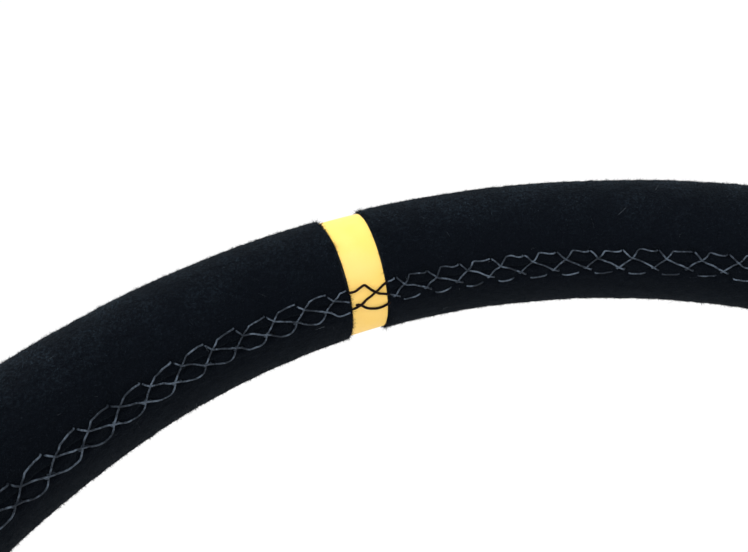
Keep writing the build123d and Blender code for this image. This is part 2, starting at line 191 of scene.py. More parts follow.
def fromTree(name, tree, inputs, body=None, source=None):
    # runs a tree on a mesh, or on nothing, and keeps the result as a plain mesh
    piece = bpy.data.objects.new(name, source or bpy.data.meshes.new(name))
    bpy.context.scene.collection.objects.link(piece)
    modifier = piece.modifiers.new(name, "NODES")
    modifier.node_group = tree
    names = {s.name: s.identifier for s in tree.interface.items_tree if s.in_out == "INPUT"}
    for key, value in inputs.items():
        modifier[names[key]] = value
    depsgraph = bpy.context.evaluated_depsgraph_get()
    made = bpy.data.meshes.new_from_object(piece.evaluated_get(depsgraph), depsgraph=depsgraph)
    piece.modifiers.clear()
    piece.data = made
    made.name = name
    if body:
        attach(piece, body)
    return piece


def newTree(name, floats=(), integers=()):
    tree = bpy.data.node_groups.new(name, "GeometryNodeTree")
    kinds = [("Source", "Geometry")] + [(n, "Float") for n in floats] + [(n, "Int") for n in integers]
    for socket, kind in kinds + [("Finish", "Material")]:
        tree.interface.new_socket(socket, in_out="INPUT", socket_type="NodeSocket" + kind)
    tree.interface.new_socket("Made", in_out="OUTPUT", socket_type="NodeSocketGeometry")
    graph = Graph(tree)
    given = {s.name: Wire(graph, s) for s in graph.add("NodeGroupInput").outputs if s.name}
    return tree, graph, given


def closeTree(graph, given, geometry):
    geometry = graph.out("GeometryNodeRealizeInstances", None, {"Geometry": geometry})
    sockets = {"Geometry": geometry, "Material": given["Finish"]}
    geometry = graph.out("GeometryNodeSetMaterial", None, sockets)
    graph.add("NodeGroupOutput", None, {"Made": geometry})


# The grip's measures, read from the parts
coreLow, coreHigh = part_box("rim_core")
coverLow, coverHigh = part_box("suede_lower_left")
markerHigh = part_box("centre_marker")[1]
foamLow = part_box("rim_foam")[0]

rimY = (coreHigh.y + coreLow.y) / 2
rimRadius = coreHigh.x - (coreHigh.y - coreLow.y) / 2
gripOut = -coverLow.z - rimRadius  # half thickness in the plane of the wheel
gripAcross = (coverHigh.y - coverLow.y) / 2
innerRadius = rimRadius - gripOut
markerSink = rimRadius + gripOut - markerHigh.z
markerHalf = math.asin(markerHigh.x / markerHigh.z)  # half the marker's share of the circle
suedeThickness = foamLow.y - coverLow.y


def gripPoint(clock, turn, lift):
    # clock runs from three o'clock up to twelve; turn goes round the section, from its
    # outermost line towards the driver; lift is above the suede
    out = rimRadius + (gripOut + lift) * np.cos(turn)
    across = rimY - (gripAcross + lift) * np.sin(turn)
    return np.stack([out * np.cos(clock), across, out * np.sin(clock)], axis=-1)


def spokeHalfAt(radius, reach=0.004):
    # half the width of the spoke at three o'clock, that far from the axis
    corners = [v.co for v in nodes["spoke_plate"].data.vertices]
    return max(c.z for c in corners if c.x > c.z and abs(math.hypot(c.x, c.z) - radius) < reach)


spokeHalf = spokeHalfAt(innerRadius)
print("stage: grip measured, spoke half width", round(spokeHalf, 4))

# Hand stitching
# Seam places are in millimetres: along the inside of the grip from twelve o'clock to the
# right, up from the innermost line towards the driver, and lift above the suede.
seam = {
    # each side's repeat is drawn from its upper crossing: the stub and the bar of the long
    # thread, the tip and the dash of the zigzag thread, and the short thread along the bottom
    "left": {
        "first": -9.4, "pitch": 8.1, "stub": (-1.2, 1.25), "bar": (5.5, -2.6), "tip": (1.7, 1.5),
        "dash": (6.1, 2.2), "rise": 1.7, "legLift": 0.16,
        "low": ((-1.6, -3.4), (0.5, -4.6), (2.6, -4.95), (4.1, -4.6), (5.0, -3.5), (5.45, -2.7)),
    },
    "right": {
        "first": 1.2, "pitch": 8.64, "stub": (-1.9, 1.8), "bar": (5.8, -2.6), "tip": (1.3, 2.15),
        "dash": (6.0, 2.0), "rise": 0.0, "legLift": -0.12,
        "low": ((-0.2, -4.9), (1.75, -4.8), (3.7, -4.5)),
    },
    "crossingUp": 4.25,
    "riseCentre": -38.0,  # where the left row runs highest, and how far that reaches
    "riseSpread": 36.0,
    "thread": 0.22,
    "markerThread": 0.34,
    "sectionRadius": 17.0,  # of the grip where the seam runs
    "buttDrop": 1.0,  # from the upper crossings down to where the edges of the suede meet
    "wander": 0.62,  # how far a thread drifts from its place, and the fineness of its drift
    "wanderScale": 230.0,
    "marginUnder": 0.6,  # that the marker's threads run on under the suede
    "spokeGap": 2.0,  # without stitches, beside a spoke
    "sides": 6,
}
buried = -1.1  # lift of a thread's end inside its needle hole


def laceThreads(side):
    # one repeat of the lacing, from its upper crossing: along, up, lift
    style = seam[side]
    (stubX, stubY), (barX, barY), (tipX, tipY) = style["stub"], style["bar"], style["tip"]
    (dashX, dashY), (*_, (endX, endY)) = style["dash"], style["low"]
    lowX, lowY = style["low"][0]
    over = [
        (stubX - 0.2, stubY + 0.15, buried),
        (stubX, stubY, 0.16),
        (stubX * 0.5, stubY * 0.5, 0.42),
        (0.0, 0.0, 0.5),
        (barX * 0.5, barY * 0.5 + 0.1, 0.3),
        (barX, barY, 0.42),
        (barX + 0.7, barY - 0.4, 0.3),
        (barX + 1.1, barY - 0.7, 0.12),
        (barX + 1.3, barY - 0.85, buried),
    ]
    back = barX - style["pitch"]
    under = [
        (back - 0.75, barY - 0.6, buried),
        (back - 0.5, barY - 0.4, 0.0),
        (back, barY, 0.05),
        (back * 0.5, barY * 0.45, style["legLift"]),
        (0.0, 0.0, 0.05),
        (tipX * 0.6, tipY * 0.55, 0.15),
        (tipX, tipY, 0.14),
        (tipX + 0.7, tipY + 0.15, 0.1),
        (dashX - 1.7, dashY - 0.05, 0.3),
        (dashX - 0.2, dashY, 0.14),
        (dashX, dashY, buried),
    ]
    low = [
        (lowX - 0.2, lowY, buried),
        (lowX, lowY, -0.2),
        *[(x, y, 0.05) for x, y in style["low"][1:-1]],
        (endX, endY, -0.2),
        (endX + 0.2, endY, buried),
    ]
    up = seam["crossingUp"]
    return [[(x, y + up, lift) for x, y, lift in thread] for thread in (over, under, low)]


def markerThreads():
    # the lacing where it crosses the marker, which is a piece of its own
    upper = [
        (-6.6, 5.2, 0.1), (-5.55, 6.0, 0.3), (-3.4, 5.75, 0.3), (-1.3, 6.45, 0.3),
        (-0.6, 6.4, 0.14), (-0.1, 5.75, 0.22), (1.85, 3.8, 0.5), (3.3, 2.85, 0.34),
        (5.0, 2.15, 0.3), (6.6, 1.4, 0.1),
    ]
    rising = [
        (-6.8, 0.3, 0.1), (-5.6, 0.75, 0.3), (-4.3, 0.85, 0.3), (-2.9, 1.35, 0.44),
        (-0.6, 2.35, 0.2), (1.85, 3.8, 0.05), (3.6, 4.95, 0.3), (5.35, 5.95, 0.3),
        (6.8, 6.8, 0.1),
    ]
    lower = [
        (-4.1, 1.5, buried), (-3.8, 1.5, 0.0), (-2.9, 1.3, 0.05), (-0.9, -0.4, 0.25),
        (1.0, -1.2, 0.3), (2.9, -1.25, 0.3), (4.9, -0.85, 0.3), (6.6, -0.4, 0.1),
    ]
    return upper, rising, lower


def smoothed(points, step=0.45):
    # a Catmull-Rom line through the points
    points = [np.array(p, float) for p in points]
    ends = [2 * points[0] - points[1], *points, 2 * points[-1] - points[-2]]
    line = []
    for a, b, c, d in zip(ends, ends[1:], ends[2:], ends[3:]):
        count = max(1, round(float(np.linalg.norm(c - b)) / step))
        for t in np.arange(count) / count:
            bend = (2 * a - 5 * b + 4 * c - d) * t**2 + (3 * b - a - 3 * c + d) * t**3
            line.append(0.5 * (2 * b + (c - a) * t + bend))
    return [*line, points[-1]]


def threadMesh(threads):
    # threads as bare edges
    corners, edges = [], []
    for thread in threads:
        line = smoothed(thread)
        first = len(corners)
        corners += [tuple(float(x) * millimetre for x in p) for p in line]
        edges += [(first + i, first + i + 1) for i in range(len(line) - 1)]
    mesh = bpy.data.meshes.new("threads")
    mesh.from_pydata(corners, edges, [])
    return mesh


def seamRise(side, along):
    away = (along - seam["riseCentre"]) / seam["riseSpread"]
    return seam[side]["rise"] * np.exp(-away * away)


def crossings(side, start, end):
    # where the cells' upper crossings lie between two places along the seam
    style = seam[side]
    first = math.floor((start - style["first"]) / style["pitch"])
    last = math.ceil((end - style["first"]) / style["pitch"]) + 1
    return [style["first"] + k * style["pitch"] for k in range(first, last + 1)]


def makeStitchTree():
    # copies a cell along the seam, bends the row round the grip and thickens its threads
    floats = ("First", "Pitch", "From", "To", "Thread", "Lift", "Rise", "Wander", "Seed")
    tree, g, given = newTree("stitchRow", floats, ("Count", "Sides"))
    step = g.out("ShaderNodeCombineXYZ", None, {"X": given["Pitch"]})
    start = g.out("ShaderNodeCombineXYZ", None, {"X": given["First"]})
    line = g.out("GeometryNodeMeshLine", None,
                 {"Count": given["Count"], "Start Location": start, "Offset": step})
    sockets = {"Points": line, "Instance": given["Source"]}
    row = g.out("GeometryNodeInstanceOnPoints", None, sockets)
    row = g.out("GeometryNodeRealizeInstances", None, {"Geometry": row})

    # a hand's unevenness: the threads drift a little along the row
    where = g.out("GeometryNodeInputPosition")
    shift = g.out("ShaderNodeCombineXYZ", None, {"Y": given["Seed"]})
    sockets = {"Vector": g.vector("ADD", where, shift), "Scale": seam["wanderScale"], "Detail": 1.5}
    sway = g.out("ShaderNodeTexNoise", None, sockets, output=1)
    swayX, swayY, _ = g.outs("ShaderNodeSeparateXYZ", None, {0: sway})
    x, y, z = g.outs("ShaderNodeSeparateXYZ", None, {0: where})
    along = x + (swayX - 0.5) * given["Wander"] * 2.0
    away = (x / millimetre - seam["riseCentre"]) / seam["riseSpread"]
    rise = given["Rise"] * g.math("EXPONENT", 0.0 - away * away)
    up = y + (swayY - 0.5) * given["Wander"] * 2.0 + rise
    lift = z + given["Lift"]
    clock = math.pi / 2 - along / innerRadius
    turn = math.pi - up / (seam["sectionRadius"] * millimetre)
    out = rimRadius + (gripOut + lift) * g.math("COSINE", turn)
    across = rimY - (gripAcross + lift) * g.math("SINE", turn)
    sockets = {"X": out * g.math("COSINE", clock), "Y": across, "Z": out * g.math("SINE", clock)}
    place = g.out("ShaderNodeCombineXYZ", None, sockets)

    before = g.math("LESS_THAN", x, given["From"])
    after = g.math("GREATER_THAN", x, given["To"])
    sockets = {"Geometry": row, "Selection": g.math("MAXIMUM", before, after)}
    row = g.out("GeometryNodeDeleteGeometry", {"domain": "POINT"}, sockets)
    row = g.out("GeometryNodeSetPosition", None, {"Geometry": row, "Position": place})
    row = g.out("GeometryNodeMeshToCurve", None, {"Mesh": row})
    sockets = {"Resolution": given["Sides"], "Radius": given["Thread"]}
    profile = g.out("GeometryNodeCurvePrimitiveCircle", None, sockets)
    sockets = {"Curve": row, "Profile Curve": profile, "Fill Caps": True}
    row = g.out("GeometryNodeCurveToMesh", None, sockets)
    row = g.out("GeometryNodeSetShadeSmooth", None, {0: row})
    closeTree(g, given, row)
    return tree


# Suede sleeves, in millimetres
suede = {
    "rowStep": 0.75,
    "innerRows": 48,
    "roundStep": 0.85,
    "roundRadius": 16.3,  # of the section, away from the seam
    "seamStep": 0.34,
    "seamStrip": (8.5, -2.0),  # up and down from the innermost line, where the steps are fine
    "gapHalf": 0.15,  # between neighbouring sleeves
    "rolledEnd": 0.75,  # radius of the turned edge
    "holeDip": 0.42,
    "holeSpread": 0.85,
    "seamGroove": 0.55,
    "grooveHalf": 0.42,
    "grooveWave": 0.25,  # the groove swings from side to side with the stitches
    "bandSink": 0.12,  # the laced strip lies a little lower
    "bandHalf": 3.4,
    "lumps": ((0.16, 21.0), (0.22, 1.1), (0.132, 2.3)),  # height and breadth of each kind
    "edgeWave": (0.5, 2.6),  # how far the ends stray, and over what breadth
    "edgeReach": 2.0,
    "tuck": 1.3,  # depth that the suede dives beside a spoke
    "tuckReach": 3.6,
    "slotHalf": 2.0,  # half the height of a spoke's slot
}


def roundSteps():
    # places round the section: fine over the seam, coarser elsewhere
    radius = seam["sectionRadius"]
    high, low = suede["seamStrip"]
    fine = round((high - low) / suede["seamStep"])
    seamTurns = math.pi - np.linspace(low, high, fine + 1) / radius
    rest = 2 * math.pi - (high - low) / radius
    coarse = round(rest * suede["roundRadius"] / suede["roundStep"])
    restTurns = seamTurns[-1] - np.linspace(0, rest, coarse + 1)[1:-1]
    return np.concatenate([seamTurns, restTurns])


def rowSteps(start, end):
    # clock places of the rows, crowded at the turned ends
    length = (end - start) * rimRadius
    roll = suede["rolledEnd"] * millimetre
    crowd = np.array([0.0, 0.04, 0.15, 0.35, 0.65]) * roll
    count = round((length - 2 * roll) / (suede["rowStep"] * millimetre))
    middle = np.linspace(roll, length - roll, count)
    places = np.concatenate([crowd, middle, length - crowd[::-1]])
    return start + places / rimRadius, np.minimum(places, length - places)


def noiseOver(points, size, seed):
    # smooth noise, -1 to 1, whose lumps are about that size in millimetres
    shift = Vector((seed * 7.13, seed * 3.71, seed * 1.37))
    size *= millimetre
    values = [noise.noise(Vector(p) / size + shift) for p in points.reshape(-1, 3)]
    return np.array(values).reshape(points.shape[:-1])


def seamPlaces(clock, turn):
    # along and up, in millimetres, of places on the grip
    along = (math.pi / 2 - clock) * innerRadius / millimetre
    up = (math.pi - turn) * seam["sectionRadius"]
    return along, up


def laceDips(along, up, side, seamRange):
    # the thread's pull: a dimple at each needle hole, a groove where the edges meet
    up = up - seamRise(side, along)
    lift = np.zeros(np.broadcast(along, up).shape)
    holes = [p for thread in laceThreads(side) for p in (thread[0], thread[-1])]
    for crossing in crossings(side, *seamRange):
        for x, y, _ in holes:
            near = ((along - crossing - x) ** 2 + (up - y) ** 2) / suede["holeSpread"] ** 2
            lift -= suede["holeDip"] * np.exp(-near)
    wave = suede["grooveWave"] * np.sin(along * 2 * math.pi / seam[side]["pitch"])
    inSeam = (along > seamRange[0]) & (along < seamRange[1])
    fromButt = up - seam["crossingUp"] + seam["buttDrop"]
    butt = np.exp(-(((fromButt - wave) / suede["grooveHalf"]) ** 2))
    band = np.exp(-((fromButt / suede["bandHalf"]) ** 4))
    lift -= inSeam * (suede["seamGroove"] * butt + suede["bandSink"] * band)
    return lift


def spokeTuck(clock, turn, spokes):
    # the suede dives into the slot that each spoke goes through
    lift = np.zeros(np.broadcast(clock, turn).shape)
    across = np.abs(gripAcross * np.sin(turn)) / millimetre
    inside = np.cos(turn) < 0
    for spoke in spokes:
        beside = np.abs(clock - spoke) * innerRadius / millimetre
        sideways = np.maximum(beside - spokeHalf / millimetre, 0)
        away = np.hypot(sideways, np.maximum(across - suede["slotHalf"], 0))
        share = np.clip(1 - away / suede["tuckReach"], 0, 1)
        lift -= inside * suede["tuck"] * share**2
    return lift


def makeSleeve(name, node, start, end, side, seamRange, spokes, seed, material):
    clocks, fromEnd = rowSteps(start, end)
    turns = roundSteps()
    clock, turn = np.meshgrid(clocks, turns, indexing="ij")
    flat = gripPoint(clock, turn, 0.0)
    along, up = seamPlaces(clock, turn)
    lift = laceDips(along, up, side, seamRange) + spokeTuck(clock, turn, spokes)
    for number, (height, breadth) in enumerate(suede["lumps"]):
        lift += height * noiseOver(flat, breadth, seed + number)
    roll = suede["rolledEnd"]
    depth = np.clip(roll - fromEnd / millimetre, 0, roll)[:, None]
    lift -= roll - np.sqrt(roll**2 - depth**2)
    stray, breadth = suede["edgeWave"]
    fade = np.exp(-fromEnd / (suede["edgeReach"] * millimetre))[:, None]
    edgeWave = stray * noiseOver(flat, breadth, seed + len(suede["lumps"])) * fade
    outer = gripPoint(clock + edgeWave * millimetre / rimRadius, turn, lift * millimetre)

    inClocks = np.linspace(start, end, suede["innerRows"])
    inClock, inTurn = np.meshgrid(inClocks, turns, indexing="ij")
    inner = gripPoint(inClock, inTurn, -suedeThickness)
    rows = np.concatenate([outer, inner[::-1]])  # out along the top, back along the wall
    count, sides = rows.shape[:2]
    index = np.arange(count * sides).reshape(count, sides)
    aside = np.roll(index, -1, 1)
    corners = [index, aside, np.roll(aside, -1, 0), np.roll(index, -1, 0)]
    quads = np.stack(corners, axis=-1).reshape(-1, 4)
    mesh = bpy.data.meshes.new(name)
    mesh.from_pydata(rows.reshape(-1, 3).tolist(), [], quads.tolist())
    faceOutwards(mesh)
    piece = bpy.data.objects.new(name, mesh)
    bpy.context.scene.collection.objects.link(piece)
    giveMaterial(piece, material)
    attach(piece, "wheel")
    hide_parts(node)
    return piece


def faceOutwards(mesh):
    shape = bmesh.new()
    shape.from_mesh(mesh)
    bmesh.ops.recalc_face_normals(shape, faces=shape.faces)
    shape.to_mesh(mesh)
    shape.free()
    mesh.shade_smooth()


# Nap: lengths in millimetres, leans in radians
nap = {
    "all": {"perSquareMetre": 6.4e6, "length": 0.68, "width": 0.08, "lean": 1.0},
    "ends": {"perSquareMetre": 1.4e7, "length": 1.2, "width": 0.1, "lean": 1.1},
    "lint": {"perSquareMetre": 4200.0, "length": 2.4, "width": 0.06, "lean": 1.5},
    "sink": 0.1,
    "endReach": 1.0,  # from a sleeve's end, where its edge is frayed
    "sizes": (0.4, 1.2),  # shares of its length that a fibre may have
    "sizeSeed": 5,
    "tuftScale": 640.0,
    "tuftSteps": (0.35, 0.68),  # of the noise, from bald to thick
    "tuftSizes": (0.65, 0.75),  # share of a bald place, and what a thick one adds
}


def makeNapTree():
    # short leaning fibres over a surface, each a single slender face
    floats = ("Density", "Length", "Width", "Lean", "Sink")
    tree, g, given = newTree("napFibres", floats, ("Seed",))
    sockets = {"Mesh": given["Source"], "Density": given["Density"], "Seed": given["Seed"]}
    points, _, rotation = g.outs("GeometryNodeDistributePointsOnFaces", None, sockets)[:3]
    fibre = g.out("GeometryNodeMeshCircle", {"fill_type": "NGON"}, {"Vertices": 3, "Radius": 1.0})
    third = given["Length"] / 3.0
    sockets = {"X": third * 2.0, "Y": given["Width"] / 1.73, "Z": 1.0}  # a triangle's length and base
    scale = g.out("ShaderNodeCombineXYZ", None, sockets)
    lift = g.out("ShaderNodeCombineXYZ", None, {"Z": third - given["Sink"]})
    upright = (0.0, -math.pi / 2, 0.0)
    sockets = {"Geometry": fibre, "Translation": lift, "Rotation": upright, "Scale": scale}
    fibre = g.out("GeometryNodeTransform", None, sockets)
    low = g.out("ShaderNodeCombineXYZ", None, {"X": 0.0 - given["Lean"], "Y": 0.0 - given["Lean"]})
    high = g.out("ShaderNodeCombineXYZ", None, {"X": given["Lean"], "Y": given["Lean"], "Z": 6.28})
    lean = g.out("FunctionNodeRandomValue", {"data_type": "FLOAT_VECTOR"},
                 {0: low, 1: high, "Seed": given["Seed"]})
    sockets = {"Rotation": rotation, "Rotate By": lean}
    rotation = g.out("FunctionNodeRotateRotation", {"rotation_space": "LOCAL"}, sockets)
    least, most = nap["sizes"]
    sockets = {2: least, 3: most, "Seed": nap["sizeSeed"]}
    size = g.out("FunctionNodeRandomValue", {"data_type": "FLOAT"}, sockets)
    where = g.out("GeometryNodeInputPosition")
    sockets = {"Vector": where, "Scale": nap["tuftScale"], "Detail": 1.0}
    tuft = g.ramp(g.out("ShaderNodeTexNoise", None, sockets), *nap["tuftSteps"])
    bald, added = nap["tuftSizes"]
    size = size * (bald + tuft * added)
    sockets = {"Points": points, "Instance": fibre, "Rotation": rotation, "Scale": size}
    closeTree(g, given, g.out("GeometryNodeInstanceOnPoints", None, sockets))
    return tree


def makeNap(name, skin, kind, seed, material, tree):
    style = nap[kind]
    inputs = {"Density": style["perSquareMetre"], "Length": style["length"] * millimetre,
              "Width": style["width"] * millimetre, "Lean": style["lean"],
              "Sink": nap["sink"] * millimetre, "Seed": seed, "Finish": material}
    piece = fromTree(f"{name}_{kind}", tree, inputs, "wheel", skin)
    return len(piece.data.polygons)


def outerSkin(sleeve, isKept):
    # the faces of the sleeve's outside that pass the test; no fibre grows on its hidden wall
    clearOf = suedeThickness * 0.75
    shape = bmesh.new()
    shape.from_mesh(sleeve.data)
    dropped = []
    for face in shape.faces:
        c = face.calc_center_median()
        out = (math.hypot(c.x, c.z) - rimRadius) / (gripOut - clearOf)
        across = (c.y - rimY) / (gripAcross - clearOf)
        if out * out + across * across < 1 or not isKept(math.atan2(c.z, c.x)):
            dropped.append(face)
    bmesh.ops.delete(shape, geom=dropped, context="FACES")
    mesh = bpy.data.meshes.new("skin")
    shape.to_mesh(mesh)
    shape.free()
    return mesh


def nearEnds(start, stop):
    # a test for places close to a sleeve's ends
    reach = nap["endReach"] * millimetre / rimRadius

    def isNear(clock):
        return min(abs(math.remainder(clock - end, math.tau)) for end in (start, stop)) < reach

    return isNear


# Springs: each coil replaces its part; its far body and far side are listed with it
springs = {
    "collar_coil": {
        "node": "collar_spring", "wire": 2.0, "turns": 5.5, "farBody": "collar", "farSide": 1,
    },
    "horn_coil": {
        "node": "horn_spring", "wire": 0.9, "turns": 6.5, "farBody": "horn_button", "farSide": -1,
    },
}
coils = {"ClosedTurns": 0.9, "Sides": 10, "Steps": 48}


def makeSpringTree():
    # a compression spring with closed ends, standing along the steering axis
    floats = ("Radius", "Wire", "Low", "High", "Turns", "ClosedTurns")
    tree, g, given = newTree("coilSpring", floats, ("Sides", "Steps"))
    turns, wire = given["Turns"], given["Wire"]
    sockets = {"Resolution": given["Steps"], "Rotations": turns, "Start Radius": given["Radius"],
               "End Radius": given["Radius"], "Height": 1.0}
    spiral = g.out("GeometryNodeCurveSpiral", None, sockets)
    x, z, share = g.outs("ShaderNodeSeparateXYZ", None, {0: g.out("GeometryNodeInputPosition")})
    closed = given["ClosedTurns"] / turns
    height = given["High"] - given["Low"] - wire
    steep = (height - 2.0 * wire * given["ClosedTurns"]) / (1.0 - 2.0 * closed)
    lower = g.math("MINIMUM", share, closed)
    upper = g.math("MAXIMUM", share - (1.0 - closed), 0.0)
    rise = (lower + upper) * wire * turns + (share - lower - upper) * steep
    sockets = {"X": x, "Y": given["Low"] + wire / 2.0 + rise, "Z": z}
    place = g.out("ShaderNodeCombineXYZ", None, sockets)
    spiral = g.out("GeometryNodeSetPosition", None, {"Geometry": spiral, "Position": place})
    sockets = {"Resolution": given["Sides"], "Radius": wire / 2.0}
    profile = g.out("GeometryNodeCurvePrimitiveCircle", None, sockets)
    sockets = {"Curve": spiral, "Profile Curve": profile, "Fill Caps": True}
    coil = g.out("GeometryNodeCurveToMesh", None, sockets)
    closeTree(g, given, g.out("GeometryNodeSetShadeSmooth", None, {0: coil}))
    return tree


def makeSpring(name, node, wire, turns, farBody, farSide, material, tree):
    low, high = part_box(node)
    wire *= millimetre
    inputs = {"Radius": (high.x - low.x - wire) / 2, "Wire": wire, "Low": low.y, "High": high.y,
              "Turns": turns, "Finish": material, **coils}
    piece = fromTree(name, tree, inputs)
    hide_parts(node)
    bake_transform(piece)


# Horn sign, in millimetres
hornSign = {
    "bulb": (-7.0, 2.4),  # middle and radius
    "tube": 0.75,  # half height
    "bell": (-1.5, 4.0),  # start and end
    "flare": 3.4,
    "flarePower": 2.2,
    "rimEnd": 5.0,
    "rimHalf": 4.75,
    "columns": 60,
    "bands": 6,
    "proud": 0.12,
    "thick": 0.18,
}


def signHalf(x):
    # half the height of a bulb horn's outline, lying along x
    middle, radius = hornSign["bulb"]
    start, end = hornSign["bell"]
    if x > end:
        return hornSign["rimHalf"]
    if x > start:
        share = (x - start) / (end - start)
        return hornSign["tube"] + hornSign["flare"] * share ** hornSign["flarePower"]
    bulb = math.sqrt(max(0.0, radius**2 - (x - middle) ** 2))
    return max(bulb, hornSign["tube"] if x > middle else 0.0)


def makeHornSign(material):
    # a printed relief that follows the crown of the cap
    cap = nodes["horn_cap"]
    columns, bands = hornSign["columns"], hornSign["bands"]
    left, right = hornSign["bulb"][0] - hornSign["bulb"][1], hornSign["rimEnd"]
    middle = (left + right) / 2
    corners = []
    for i in range(columns + 1):
        x = left + (right - left) * i / columns
        for j in range(bands + 1):
            z = signHalf(x) * (2 * j / bands - 1)
            start = Vector(((x - middle) * millimetre, -1.0, z * millimetre))
            _, place, _, _ = cap.ray_cast(start, Vector((0, 1, 0)))
            corners.append(place - Vector((0, hornSign["proud"] * millimetre, 0)))
    wide = bands + 1
    faces = [(i * wide + j, (i + 1) * wide + j, (i + 1) * wide + j + 1, i * wide + j + 1)
             for i in range(columns) for j in range(bands)]
    shape = bmesh.new()
    verts = [shape.verts.new(c) for c in corners]
    for face in faces:
        shape.faces.new([verts[k] for k in face])
    bmesh.ops.remove_doubles(shape, verts=shape.verts, dist=1e-6)
    bmesh.ops.dissolve_degenerate(shape, edges=shape.edges, dist=1e-6)
    bmesh.ops.recalc_face_normals(shape, faces=shape.faces)
    grown = bmesh.ops.extrude_face_region(shape, geom=shape.faces)["geom"]
    back = [g for g in grown if isinstance(g, bmesh.types.BMVert)]
    bmesh.ops.translate(shape, verts=back, vec=(0, hornSign["thick"] * millimetre, 0))
    bmesh.ops.recalc_face_normals(shape, faces=shape.faces)
    mesh = bpy.data.meshes.new("horn_sign")
    shape.to_mesh(mesh)
    shape.free()
    piece = bpy.data.objects.new("horn_sign", mesh)
    bpy.context.scene.collection.objects.link(piece)
    giveMaterial(piece, material)
    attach(piece, "horn_button")


# Finishes
# painted shade: the suede and its nap are coloured darker on the inside of the rim and lighter outside
paintedShadeBand = (rimRadius - gripOut * 1.1, rimRadius + gripOut * 0.2)
hideTones = {
    "deep": (0.0017, 0.0027, 0.0047),
    "raised": (0.0135, 0.0210, 0.0295),
    "speck": (0.042, 0.055, 0.068),
    # inside: painted shade for the inside of the rim
    "inside": (0.0022, 0.0034, 0.0058),
}
napTones = {
    "deep": (0.0008, 0.0013, 0.0025),
    "raised": (0.052, 0.082, 0.110),
    "speck": (0.11, 0.14, 0.17),
    # inside: painted shade for the inside of the rim
    "inside": (0.0066, 0.0098, 0.0150),
}


def suedeFinish():
    f = Finish("blackSuede")
    patches = f.ramp(f.noise(90.0, 3.0, 0.6), 0.36, 0.66)
    tufts = f.ramp(f.noise(1400.0, 3.0, 0.65), 0.42, 0.74)
    grain = f.noise(2100.0, 3.0, 0.65)
    tone = tufts * (patches * 0.75 + 0.25)
    colour = f.mix(tone, hideTones["deep"], hideTones["raised"])
    speck = f.ramp(f.cells(620.0), 0.15, 0.04) * f.ramp(f.noise(130.0, 2.0), 0.52, 0.66)
    colour = f.mix(speck, colour, hideTones["speck"])
    # painted shade: the hide is coloured darker towards the inside of the rim
    colour = f.mix(f.ramp(f.aroundAxis()[0], *paintedShadeBand), hideTones["inside"], colour)
    normal = f.bump(grain, 0.0005)
    return f.set(Base_Color=colour, Roughness=0.92 + grain * 0.06, Normal=normal,
                 Specular_IOR_Level=0.04, Sheen_Weight=0.03, Sheen_Roughness=0.35,
                 Sheen_Tint=(0.55, 0.75, 0.9))


def napFinish():
    # the fibres: mostly as dark as the hide, here and there a lighter one
    f = Finish("suedeNap")
    fibre = f.noise(4300.0, 0.0)
    tuft = f.ramp(f.noise(1500.0, 1.0), 0.46, 0.7)
    patch = f.ramp(f.noise(90.0, 3.0, 0.6), 0.4, 0.66)
    tone = tuft * (patch * 0.7 + 0.3) + fibre * 0.1
    colour = f.mix(tone, napTones["deep"], napTones["raised"])
    speck = f.ramp(f.cells(420.0), 0.13, 0.05) * f.ramp(f.noise(95.0, 1.0), 0.5, 0.62)
    colour = f.mix(speck, colour, napTones["speck"])
    # painted shade: the fibres are coloured darker towards the inside of the rim
    colour = f.mix(f.ramp(f.aroundAxis()[0], *paintedShadeBand), napTones["inside"], colour)
    return f.set(Base_Color=colour, Roughness=0.85 + fibre * 0.1, Specular_IOR_Level=0.1)


def lintFinish():
    f = Finish("lint")
    tone = f.noise(1500.0, 1.0)
    colour = f.mix(f.ramp(tone, 0.4, 0.6), (0.045, 0.055, 0.07), (0.16, 0.19, 0.22))
    return f.set(Base_Color=colour, Roughness=0.8 + tone * 0.1)


def markerFinish():
    f = Finish("yellowLeather")
    grain = f.cells(1500.0, "SMOOTH_F1")
    tone = f.noise(60.0, 3.0)
    colour = f.mix(f.ramp(tone, 0.35, 0.7), (0.98, 0.63, 0.13), (1.0, 0.665, 0.19))
    normal = f.bump(grain, 0.00006)
    normal = f.bump(f.noise(240.0, 2.0), 0.00012, under=normal)
    return f.set(Base_Color=colour, Roughness=0.5 + grain * 0.15, Normal=normal,
                 Specular_IOR_Level=0.35)


def threadFinish(name, dark, light, shine):
    f = Finish(name)
    strand = f.noise(2600.0, 2.0)
    worn = f.noise(330.0, 2.0, 0.65)
    colour = f.mix(f.ramp(strand * 0.3 + worn * 0.7, 0.42, 0.64), dark, light)
    return f.set(Base_Color=colour, Roughness=0.6, Normal=f.bump(strand, 0.00012),
                 Specular_IOR_Level=shine)


def anodisedFinish(name, colour, worn, grainScale=1400.0):
    # blasted and anodised aluminium, rubbed lighter on its edges
    f = Finish(name)
    grain = f.noise(grainScale, 3.0)
    scuffs = f.noise(90.0, 4.0, 0.6)
    edge = f.edges(0.0007)
    wear = edge * f.ramp(scuffs, 0.5, 0.68)
    shade = f.mix(f.ramp(scuffs, 0.3, 0.75), colour, [c * 1.35 + 0.002 for c in colour])
    return f.set(Base_Color=f.mix(wear, shade, worn), Metallic=0.82,
                 Roughness=0.36 + grain * 0.2 - wear * 0.12, Normal=f.bump(grain, 0.00007))


